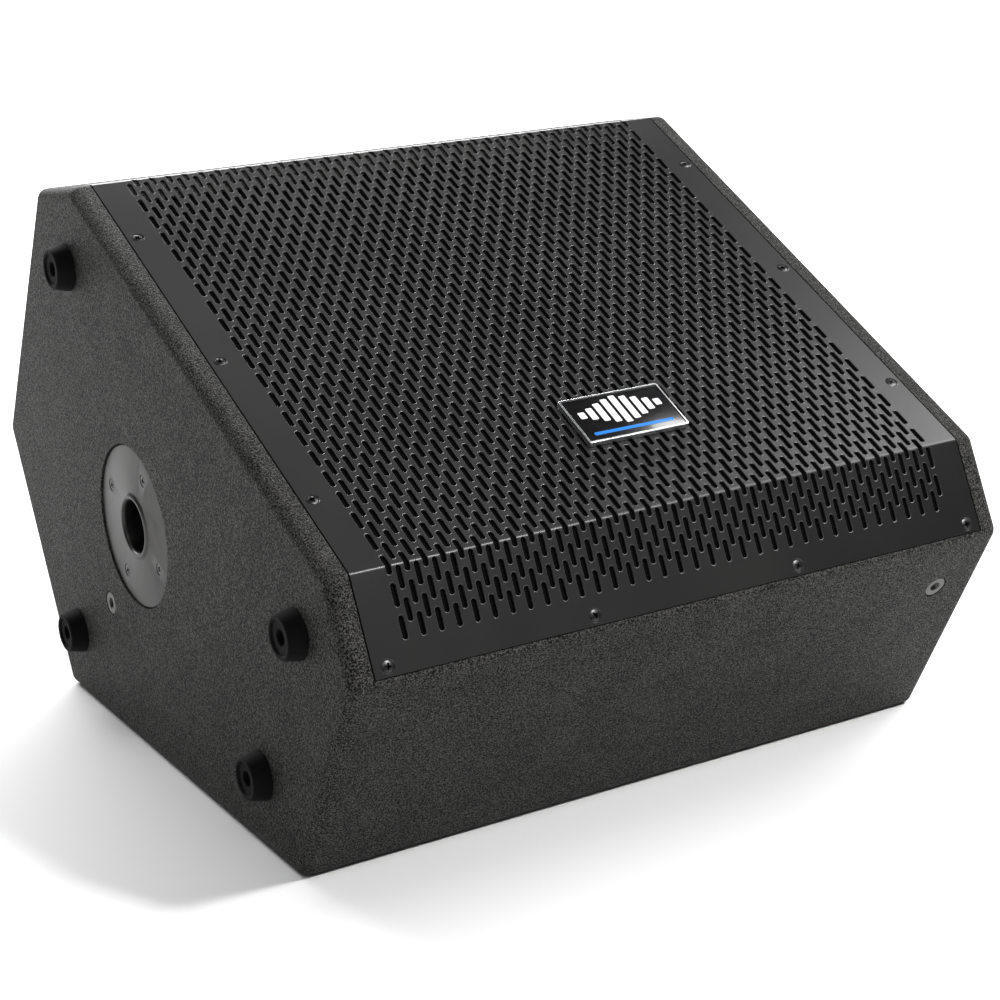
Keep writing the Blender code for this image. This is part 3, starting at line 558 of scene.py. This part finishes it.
def flatSheet():
    pitchX, pitchY = grille["columnPitch"] * mm, grille["rowPitch"] * mm
    firstX = -pitchX * (grille["columns"] - 1) / 2
    lowest = faceLength + grille["lowestSlot"] * mm
    rows = int((lowest + grille["topReturn"] * mm) / pitchY)
    bm = slotCell()
    cell = bm.verts[:] + bm.edges[:] + bm.faces[:]
    bmesh.ops.translate(bm, verts=bm.verts[:], vec=(firstX, lowest, 0))
    neighbour = bmesh.ops.duplicate(bm, geom=cell)["geom"]
    verts = [v for v in neighbour if isinstance(v, bmesh.types.BMVert)]
    bmesh.ops.translate(bm, verts=verts, vec=(pitchX, -pitchY / 2, 0))
    # half a plain cell, front and back, evens the columns up: odd ones at the foot, even ones on top
    sheet = grille["sheet"] * mm
    plain = []
    for x, middle in ((firstX + pitchX, lowest + pitchY / 4), (firstX, lowest - pitchY * (rows - 0.25))):
        for lift in (0, -sheet):
            made = bmesh.ops.create_grid(bm, x_segments=1, y_segments=1, size=0.5)["verts"]
            bmesh.ops.scale(bm, verts=made, vec=(pitchX, pitchY / 2, 1))
            bmesh.ops.translate(bm, verts=made, vec=(x, middle, lift))
            plain += made + list(made[0].link_faces[0].edges) + list(made[0].link_faces)
    evenColumn = repeatParts(bm, cell, rows, (0, -pitchY, 0))
    oddColumn = repeatParts(bm, neighbour, rows, (0, -pitchY, 0)) + plain
    repeatParts(bm, evenColumn + oddColumn, grille["columns"] // 2, (2 * pitchX, 0, 0))
    bmesh.ops.remove_doubles(bm, verts=bm.verts[:], dist=1e-6)
    # the plain margins, with a dished hole for each screw
    ends = (-grille["topReturn"] * mm, faceLength + noseLength - grille["foot"] * mm)
    size = (2 * grille["halfWidth"] * mm, ends[1] - ends[0])
    share = grille["dishFloor"] / grille["dish"]
    tileEdges = [e for e in bm.edges if e.is_boundary]
    for lift, radius in ((0, grille["dish"]), (-sheet, grille["dishFloor"])):
        border = addOutline(bm, size, (0, (ends[0] + ends[1]) / 2, lift))
        circles = []
        for x, down in screwSpots():
            centre = Vector((x, down, lift))
            made = bmesh.ops.create_circle(bm, segments=24, radius=radius * mm,
                                           matrix=Matrix.Translation(centre))["verts"]
            circle = list({e for v in made for e in v.link_edges})
            circles += circle
            if lift == 0:
                rollIn(bm, circle, centre, share, grille["dishDrop"] * mm, sheet)
        level = [e for e in tileEdges if abs(e.verts[0].co.z - lift) < 1e-6]
        bmesh.ops.triangle_fill(bm, edges=level + border + circles, use_beauty=True, normal=(0, 0, 1))
        if lift == 0:
            rim = bmesh.ops.extrude_edge_only(bm, edges=border)["geom"]
            verts = [v for v in rim if isinstance(v, bmesh.types.BMVert)]
            bmesh.ops.translate(bm, verts=verts, vec=(0, 0, -sheet))
    bmesh.ops.remove_doubles(bm, verts=bm.verts[:], dist=1e-6)
    return bm


def foldSheet(bm):
    radius = grille["foldRadius"] * mm
    folds = []
    for edge, spot in ((face, 0.0), (nose, faceLength)):
        before, after = outward(edge - 1), outward(edge)
        bend = before.angle(after)
        flat = radius * tan(bend / 2)          # from the corner to where the bend starts
        folds.append((edge, spot, bend, flat))
        for share in (-1.8, -1, -0.5, 0, 0.5, 1, 1.8):
            parts = bm.verts[:] + bm.edges[:] + bm.faces[:]
            bmesh.ops.bisect_plane(bm, geom=parts, dist=1e-7, plane_co=(0, spot + share * flat, 0),
                                   plane_no=(0, 1, 0))
    bmesh.ops.recalc_face_normals(bm, faces=bm.faces[:])
    for vert in bm.verts:
        x, down, lift = vert.co
        edge = top if down < 0 else face if down < faceLength else nose
        start = corner(face) if edge in (top, face) else corner(nose)
        distance = down if edge != nose else down - faceLength
        spot = start + along(edge) * distance + outward(edge) * lift
        for foldEdge, foldSpot, bend, flat in folds:
            share = (down - foldSpot) / flat
            if abs(share) < 1:
                direction = outward(foldEdge - 1).slerp(outward(foldEdge), (share + 1) / 2)
                centre = insetCorner(foldEdge, radius)
                spot = centre + direction * (radius + lift)
        vert.co = (x, spot.x, spot.y)


def makeGrille():
    bm = flatSheet()
    foldSheet(bm)
    piece = addPiece("grille_sheet", bm, coat, ["grille"], angle=24)
    # the second material paints a highlight on the slot and dish rims
    piece.data.materials.append(coatRimHighlight)
    for number, (x, down) in enumerate(screwSpots(), 1):
        edge, distance = (face, down) if down < faceLength else (nose, down - faceLength)
        addScrew(f"grille_screw_{number}_head", "grille", edgeFrame(edge, x, distance, -0.05 * mm),
                 number * 37, [f"grille_screw_{number}"])
    print("grille made:", len(piece.data.polygons), "faces")


makeGrille()


# Cabinet shell

def bodyOutline():
    # the wood's outline, with the step that the grille lies in
    rebate = cabinet["rebate"] * mm
    foldEnd = corner(face) - along(top) * (cabinet["topReturn"] * mm + touch)
    lip = corner(front) - along(nose) * cabinet["lip"] * mm
    return [corner(top), foldEnd, foldEnd - outward(top) * rebate, insetCorner(face, rebate),
            insetCorner(nose, rebate), lip - outward(nose) * rebate, lip, corner(front),
            corner(floorEdge), corner(lowRear), corner(upRear)]


def edgesAt(bm, spot):
    # the edges that run across the cabinet at a point of its outline
    return [e for e in bm.edges if abs(e.verts[0].co.x - e.verts[1].co.x) > 1e-6
            and (e.verts[0].co.yz - spot).length < 1e-6]


def roundCorners(bm, indexes):
    for index in indexes:
        turn = outward(index - 1).angle(outward(index))
        offset = cabinet["cornerRound"] * mm * tan(turn / 2)
        roundEdges(bm, edgesAt(bm, corner(index)), offset, 6)


def keepInside(bm, point, normal):
    # cuts away what lies past a plane in YZ and closes the cut
    parts = bm.verts[:] + bm.edges[:] + bm.faces[:]
    bmesh.ops.bisect_plane(bm, geom=parts, dist=1e-7, plane_co=(0, point.x, point.y),
                           plane_no=(0, normal.x, normal.y), clear_outer=True)
    rim = [e for e in bm.edges if e.is_boundary]
    bmesh.ops.contextual_create(bm, geom=rim)


def makePanel(name, edge, mitres):
    bm = prism(bodyOutline(), -reach, reach)
    roundCorners(bm, (top, floorEdge, lowRear, upRear))
    ends = bodyOutline()
    for spot, radius in ((corner(front), 1.3), (ends[1], 0.8), (ends[6], 0.8)):
        roundEdges(bm, edgesAt(bm, spot), radius * mm, 4)
    keepInside(bm, corner(edge) - outward(edge) * ply, -outward(edge))
    for index in mitres:
        inner = insetCorner(index, ply)
        split = (corner(index) - inner).normalized()
        normal = Vector((split.y, -split.x))
        middle = (corner(edge) + corner(edge + 1)) / 2
        if normal.dot(middle - inner) > 0:
            normal.negate()
        keepInside(bm, inner - normal * touch / 2, normal)
    bmesh.ops.recalc_face_normals(bm, faces=bm.faces[:])
    return addPiece(name + "_shell", bm, paint, [name])


makePanel("bottom_panel", floorEdge, (floorEdge, lowRear))
frontPanel = makePanel("front_panel", front, (floorEdge,))
makePanel("lower_rear_panel", lowRear, (lowRear, upRear))
rearPanel = makePanel("upper_rear_panel", upRear, (upRear, top))
makePanel("top_panel", top, (top,))


def makeSide(side, name):
    inner, outer = side * (halfWidth - ply), side * halfWidth
    bm = prism(corners, inner, outer)
    roundCorners(bm, range(7))
    rim = [e for e in bm.edges if all(abs(v.co.x - outer) < 1e-6 for v in e.verts)]
    roundEdges(bm, rim, cabinet["sideRound"] * mm, 8)
    return addPiece(name + "_shell", bm, paint, [name])


leftSide = makeSide(-1, "side_panel_left")
rightSide = makeSide(1, "side_panel_right")
print("cabinet panels made")


# Pole cup, feet and inserts on the left side

cup = dict(flange=55, thick=2.5, sunk=1.2, recess=56.2, bore=18, wall=2, depth=85,
           screwCircle=41.3, screwTurn=28)
foot = dict(base=16, tip=13.1, high=12, hole=5, dish=1.5, rim=1.6, seat=5, screw=4.3)
insert = dict(disc=7.8, barrel=6, bore=3.4, recess=8.3, frontX=204, frontDown=43, sunk=0.35)


def makePoleCup():
    spot = centreOf("pole_cup").yz
    bore, tube, end = cup["bore"], cup["bore"] + cup["wall"], -cup["depth"]
    profile = [(cup["flange"], -cup["thick"]), (cup["flange"], -0.7), (cup["flange"] - 0.25, -0.2),
               (cup["flange"] - 0.8, 0), (bore + 5.2, 0), (bore + 4.2, 0.45), (bore + 3.3, 1.2),
               (bore + 2.3, 1.6), (bore + 1.2, 1.45), (bore + 0.4, 0.7), (bore, -0.6), (bore, -1.5),
               (bore, end + cup["wall"]), (0, end + cup["wall"]), (0, end), (tube, end),
               (tube, -cup["thick"])]
    place = sideFrame(-1, spot, cup["sunk"] * mm)
    piece = addPiece("pole_cup_turned", turned(profile, 96), flangeSteel, ["pole_cup"],
                     place=place)
    sinks = []
    for number in range(4):
        angle = radians(cup["screwTurn"] + 90 * number)
        at = spot + Vector((cos(angle), sin(angle))) * cup["screwCircle"] * mm
        seat = sideFrame(-1, at, cup["sunk"] * mm)
        sinks.append(countersink(seat, 4.5, 2.2, 2.3, 9, 32))
        addScrew(f"pole_cup_screw_{number + 1}_head", "cup", seat, 25 + 61 * number,
                 [f"pole_cup_screw_{number + 1}"])
    carve(piece, sinks)
    well = turned([(0, 5), (cup["recess"], 5), (cup["recess"], 0.3), (cup["recess"] - 0.5, -0.2),
                   (cup["recess"] - 0.5, -cup["sunk"] - cup["thick"] - 0.3),
                   (tube + 0.5, -cup["sunk"] - cup["thick"] - 0.3), (tube + 0.5, -30), (0, -30)], 96)
    return moved(well, sideFrame(-1, spot))


def insertWell(place):
    recess = insert["recess"]
    return moved(turned([(0, 3), (recess + 0.3, 3), (recess + 0.3, 0.1), (recess, -0.3), (recess, -1.8),
                         (6.5, -1.8), (6.5, -30), (0, -30)], 48), place)


def makeInsert(where, place):
    disc, bore, barrel = insert["disc"], insert["bore"], insert["barrel"]
    down = insert["sunk"]
    profile = [(disc, -1.4 - down), (disc, -0.35 - down), (disc - 0.35, -down), (bore + 0.7, -down)]
    z = -down - 0.5
    while z > -cabinet["ply"] - 1.5:      # M8 thread, 1.25 mm pitch
        profile += [(bore, z), (bore + 0.45, z - 0.6)]
        z -= 1.25
    profile += [(bore, -cabinet["ply"] - 2), (barrel, -cabinet["ply"] - 2), (barrel, -1.4 - down)]
    addPiece(f"rigging_insert_{where}_sleeve", turned(profile, 48), zincPlate,
             [f"rigging_insert_{where}"], place=place)


def makeFeet():
    high, tip, hole, dish = foot["high"], foot["tip"], foot["hole"], foot["dish"]
    rimInside = tip - foot["rim"]
    profile = [(foot["base"] - 0.4, 0.3), (foot["base"], 0.7), (foot["base"] - 0.1, 1.6),
               (tip + 0.75, high - 1.5), (tip + 0.3, high - 0.5), (tip - 0.5, high),
               (rimInside, high), (rimInside - 0.5, high - 0.3), (rimInside - 1, high - dish),
               (hole + 0.5, high - dish), (hole, high - dish - 0.5), (hole, foot["seat"] + 0.1),
               (foot["screw"] + 0.3, foot["seat"]), (2.3, foot["seat"] - 2.4), (2.3, 0.3)]
    for number in range(1, 5):
        spot = centreOf(f"foot_{number}").yz
        addPiece(f"foot_{number}_rubber", turned(profile, 64), rubber, [f"foot_{number}"],
                 place=sideFrame(-1, spot))
        addScrew(f"foot_screw_{number}_head", "foot", sideFrame(-1, spot, -foot["seat"] * mm),
                 50 * number, [f"foot_screw_{number}"])


leftWells = [makePoleCup()]
makeFeet()
insertPlaces = {side: sideFrame(sign, centreOf(f"rigging_insert_{side}").yz)
                for side, sign in (("left", -1), ("right", 1))}
insertPlaces["front"] = edgeFrame(front, insert["frontX"] * mm, insert["frontDown"] * mm)
for where, place in insertPlaces.items():
    makeInsert(where, place)
leftWells.append(insertWell(insertPlaces["left"]))
carve(leftSide, leftWells)
carve(frontPanel, [insertWell(insertPlaces["front"])])
print("pole cup, feet and inserts made")


# Badge: a chromed frame round a lacquered plate, with a plain level-meter mark

badge = dict(size=(75.5, 41.5), proud=3.5, x=9.8, down=308, bezel=1.4, sunk=0.5, ink=0.12,
             bars=(6, 11, 17, 22, 26, 22, 17, 11, 6), barWide=4.8, barPitch=7.1, barUp=4.3,
             lineSize=(60, 2.6), lineUp=-13.6)


def makeBadge():
    place = edgeFrame(face, badge["x"] * mm, badge["down"] * mm, -touch)
    proud = badge["proud"]
    outer = block(badge["size"], 0, proud, 1.5, 0.5)
    bezel = addPiece("badge_frame", outer, chromePlate, ["badge_bezel"], place=place)
    inside = [size - 2 * badge["bezel"] for size in badge["size"]]
    carve(bezel, [moved(block(inside, 0.8, proud * 2, 1), place)])
    plateFace = [size - 0.4 for size in inside]
    lift = proud - badge["sunk"]
    addPiece("badge_face", block(plateFace, 1.1, lift, 0.8, 0.2), badgeBlack,
             ["badge_plate"], place=place)
    middle = (len(badge["bars"]) - 1) / 2
    for number, tall in enumerate(badge["bars"]):
        shift = Matrix.Translation(((number - middle) * badge["barPitch"] * mm, badge["barUp"] * mm, 0))
        bar = block((badge["barWide"], tall), lift - 0.05, lift + badge["ink"], 0.9, 0.05, 4)
        addPiece(f"badge_bar_{number + 1}", bar, badgeWhite, place=place @ shift)
    shift = Matrix.Translation((0, badge["lineUp"] * mm, 0))
    line = block(badge["lineSize"], lift - 0.05, lift + badge["ink"], 0.9, 0.05, 4)
    addPiece("badge_line", line, badgeBlue, place=place @ shift)


makeBadge()
print("badge made")


# Handle on the right side

handle = dict(flange=(180, 118), pocket=(152, 90), depth=55, wall=2.5, thick=3,
              grip=12, gripSteps=40, wave=0.7, endPull=0.9, endGap=0.3,
              screws=((82, 50), (-82, 50), (82, -50), (-82, -50), (0, 52), (0, -52)))


def makeHandle():
    low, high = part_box("handle_dish")
    spot = Vector(((low.y + high.y) / 2, (low.z + high.z) / 2))
    place = sideFrame(1, spot) @ Matrix.Rotation(pi / 2, 4, "Z")
    pocket, depth, wall = handle["pocket"], handle["depth"], handle["wall"]
    flange = block(handle["flange"], 0.3, handle["thick"], 24, 1.2, 12)
    dish = addPiece("handle_pocket", flange, plastic, ["handle_dish"], place=place)
    outerSize = [size + 2 * wall for size in pocket]
    tub = block(outerSize, -depth, 2, 20, 0, 10)
    floorRim = [e for e in tub.edges if all(v.co.z < -depth * mm + 1e-6 for v in e.verts)]
    roundEdges(tub, floorRim, 8 * mm, 5)
    carve(dish, [moved(tub, place)], "UNION")
    inside = block(pocket, -depth + wall, 20, 18, 0, 10)
    floorRim = [e for e in inside.edges if all(v.co.z < (-depth + wall) * mm + 1e-6 for v in e.verts)]
    roundEdges(inside, floorRim, 7 * mm, 5)
    sinks = []
    for number, (x, y) in enumerate(handle["screws"], 1):
        at = place @ Matrix.Translation((x * mm, y * mm, handle["thick"] * mm))
        sinks.append(countersink(at, 3.5, 1.8, 1.8, 3.5))
        addScrew(f"handle_screw_{number}", "plate", at, 31 * number)
    carve(dish, [moved(inside, place)] + sinks)
    # a grip with finger waves that die away towards its drawn-in ends
    half = pocket[0] / 2 - handle["endGap"]
    steps, wave = handle["gripSteps"], handle["wave"]
    profile = [(0, -half)]
    for step in range(steps + 1):
        u = step / steps * 2 - 1
        swell = wave * (cos(u * pi * 4) * (1 - u * u) - 1) - handle["endPull"] * u ** 8
        profile.append((handle["grip"] + swell, u * half))
    profile.append((0, half))
    turn = Matrix.Translation((0, 0, -handle["grip"] * mm)) @ Matrix.Rotation(pi / 2, 4, "Y")
    addPiece("handle_bar", turned(profile, 40), rubber, ["handle_grip"], place=place @ turn,
             angle=50)
    outline = block(outerSize, -30, 20, 20.5, 0, 10)
    bmesh.ops.scale(outline, verts=outline.verts[:], vec=(1.006, 1.008, 1))
    return moved(outline, place)


carve(rightSide, [makeHandle(), insertWell(insertPlaces["right"])])
print("handle made")


# Connector plate with two round locking sockets on the upper rear panel

plate = dict(size=(130, 84), thick=2, gap=0.3, hole=(104, 50), screwAt=(57, 34), pitch=46,
             holeRadius=12.3, flange=(26, 31), flangeThick=2.5, barrel=12, mouth=11, reach=22,
             post=5.5, postDown=4.2, socketScrews=((-10, 12.6), (10, -12.6)),
             contact=(0.5, 2.2), contactSpan=(-16, -6.5))


def makePlate():
    place = edgeFrame(upRear, 0, (corner(top) - corner(upRear)).length / 2)
    low, high = plate["gap"], plate["gap"] + plate["thick"]
    sheet = block(plate["size"], low, high, 6, 0.5)
    piece = addPiece("connector_panel", sheet, flangeSteel, ["connector_plate"],
                     place=place)
    cuts = []
    hole, (screwX, screwY) = plate["holeRadius"], plate["screwAt"]
    for x, across in ((-1, "left"), (1, "right")):
        cuts.append(moved(turned([(0, 9), (hole, 9), (hole, -9), (0, -9)], 48),
                          place @ Matrix.Translation((x * plate["pitch"] / 2 * mm, 0, 0))))
        for y, up in ((-1, "low"), (1, "high")):
            at = place @ Matrix.Translation((x * screwX * mm, y * screwY * mm, high * mm))
            cuts.append(countersink(at, 3.5, 1.8, 1.8, 3))
            addScrew(f"connector_screw_{across}_{up}", "plate", at, 20 + 33 * x + 51 * y)
    carve(piece, cuts)
    return place


def makeSocket(name, place):
    high = plate["flangeThick"]
    body = block(plate["flange"], 0, high, 3, 0.6)
    piece = addPiece(name + "_body", body, plastic, [name], place=place)
    reachDown, mouth, post = plate["reach"], plate["mouth"], plate["post"]
    barrel = turned([(0, 1), (plate["barrel"], 1), (plate["barrel"], -reachDown), (0, -reachDown)], 48)
    carve(piece, [moved(barrel, place)], "UNION")
    down = -reachDown + 4
    ring = turned([(post, down), (mouth, down), (mouth, high - 0.6), (mouth + 0.8, high + 0.1),
                   (mouth + 0.8, 9), (0, 9), (0, -plate["postDown"]), (post - 0.6, -plate["postDown"]),
                   (post, -plate["postDown"] - 0.6)], 48)
    cuts = [moved(ring, place)]
    for x, y in plate["socketScrews"]:
        at = place @ Matrix.Translation((x * mm, y * mm, high * mm))
        cuts.append(moved(turned([(0, 1), (1.9, 1), (1.9, -0.2), (1.2, -1), (1.2, -4), (0, -4)], 20), at))
    for turn in (45, 225):     # the key ways that lock the plug
        key = block((3.4, 3), -12, 6)
        shift = Matrix.Rotation(radians(turn), 4, "Z") @ Matrix.Translation((mouth * mm, 0, 0))
        cuts.append(moved(key, place @ shift))
    carve(piece, cuts)
    for number in range(4):    # sprung contacts on the post
        turn = Matrix.Rotation(radians(45 + 90 * number), 4, "Z")
        contact = block(plate["contact"], *plate["contactSpan"], 0.15, 0, 2)
        shift = Matrix.Translation(((post + plate["contact"][0] / 2) * mm, 0, 0))
        addPiece(f"{name}_contact_{number + 1}", contact, brass, place=place @ turn @ shift)


plateFrame = makePlate()
hole = block(plate["hole"], -30, 20, 4)
carve(rearPanel, [moved(hole, plateFrame)])
for name, side in (("input_socket", -1), ("link_socket", 1)):
    lift = (plate["gap"] + plate["thick"] + plate["gap"]) * mm
    makeSocket(name, plateFrame @ Matrix.Translation((side * plate["pitch"] / 2 * mm, 0, lift)))
print("connector plate made")


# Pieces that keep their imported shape

kept = {
    foam: ["grille_foam"],
    bareWood: ["floor_brace"],
    paint: ["baffle", "grille_rail_left", "grille_rail_right"],
    castMetal: ["woofer_basket"],
    resinCloth: ["woofer_surround", "woofer_spider"],
    pulp: ["woofer_cone"],
    zincPlate: ["woofer_top_plate", "woofer_back_plate"],
    ferrite: ["woofer_magnet", "hf_motor"],
    titanium: ["hf_diaphragm"],
    plastic: ["hf_horn", "hf_cover", "port_tube_left", "port_tube_right"],
    board: ["crossover_board"],
}
for material, names in kept.items():
    for name in names:
        nodes[name].data.materials.clear()
        nodes[name].data.materials.append(material)
print("materials given to", sum(len(names) for names in kept.values()), "packed pieces")


# Floor and light

studio = dict(
    floorColour="f8f8f8", floorSize=16,
    skyLevel=0.06,
    lamps={
        # name: (place, size across and up in metres, watts, point that it faces)
        "leftHigh": ((-0.85, 1.3, 2.8), (2.0, 2.0), 10, (-0.85, 1.0, 0)),
        "leftLow": ((-0.9, 0.3, 0.12), (0.7, 0.1), 0.45, (-0.24, 0.1, 0)),
        "leftFront": ((-1.1, -2.0, 2.6), (1.8, 1.8), 18, (-0.8, -1.5, 0)),
        "backFloor": ((1.0, 4.7, 2.7), (5.4, 2.8), 800, (1.0, 4.2, 0)),
        "frontLow": ((0.8, -1.9, 0.3), (0.8, 0.2), 1.0, (0.2, -0.3, 0)),
        "right": ((2.4, -0.2, 2.2), (1.3, 1.3), 60, (0.9, -0.5, 0)),
        "foldGlint": ((0.85, -1.35, 2.05), (0.26, 0.26), 48, (0, 0, 0.2)),
    },
)


def makeStudio():
    floor = bmesh.new()
    bmesh.ops.create_grid(floor, x_segments=1, y_segments=1, size=studio["floorSize"] / 2)
    bmesh.ops.translate(floor, verts=floor.verts[:], vec=(0, 0, cadLow.z - 0.1 * mm))
    mesh = bpy.data.meshes.new("floor")
    floor.to_mesh(mesh)
    floor.free()
    material, tree, shader, place = startMaterial("paleFloor", studio["floorColour"], 0.8)
    shade = addNode(tree, "ShaderNodeTexNoise", {"Vector": place, "Scale": 2.0})
    addNode(tree, "ShaderNodeMapRange", {"Value": shade, "To Min": 0.78, "To Max": 0.82},
            shader["Roughness"])
    mesh.materials.append(material)
    ground = bpy.data.objects.new("floor", mesh)
    bpy.context.scene.collection.objects.link(ground)
    world = bpy.data.worlds.new("studio")
    world.use_nodes = True
    sky = world.node_tree.nodes["Background"]
    sky.inputs["Color"].default_value = (1, 1, 1, 1)
    sky.inputs["Strength"].default_value = studio["skyLevel"]
    bpy.context.scene.world = world
    for name, (place, size, watts, faces) in studio["lamps"].items():
        lamp = bpy.data.lights.new(name, "AREA")
        lamp.shape = "RECTANGLE"
        lamp.size, lamp.size_y = size
        lamp.energy = watts
        holder = bpy.data.objects.new(name, lamp)
        holder.location = place
        aim = Vector(faces) - Vector(place)
        holder.rotation_euler = aim.to_track_quat("-Z", "Y").to_euler()
        bpy.context.scene.collection.objects.link(holder)


makeStudio()
print("studio made")
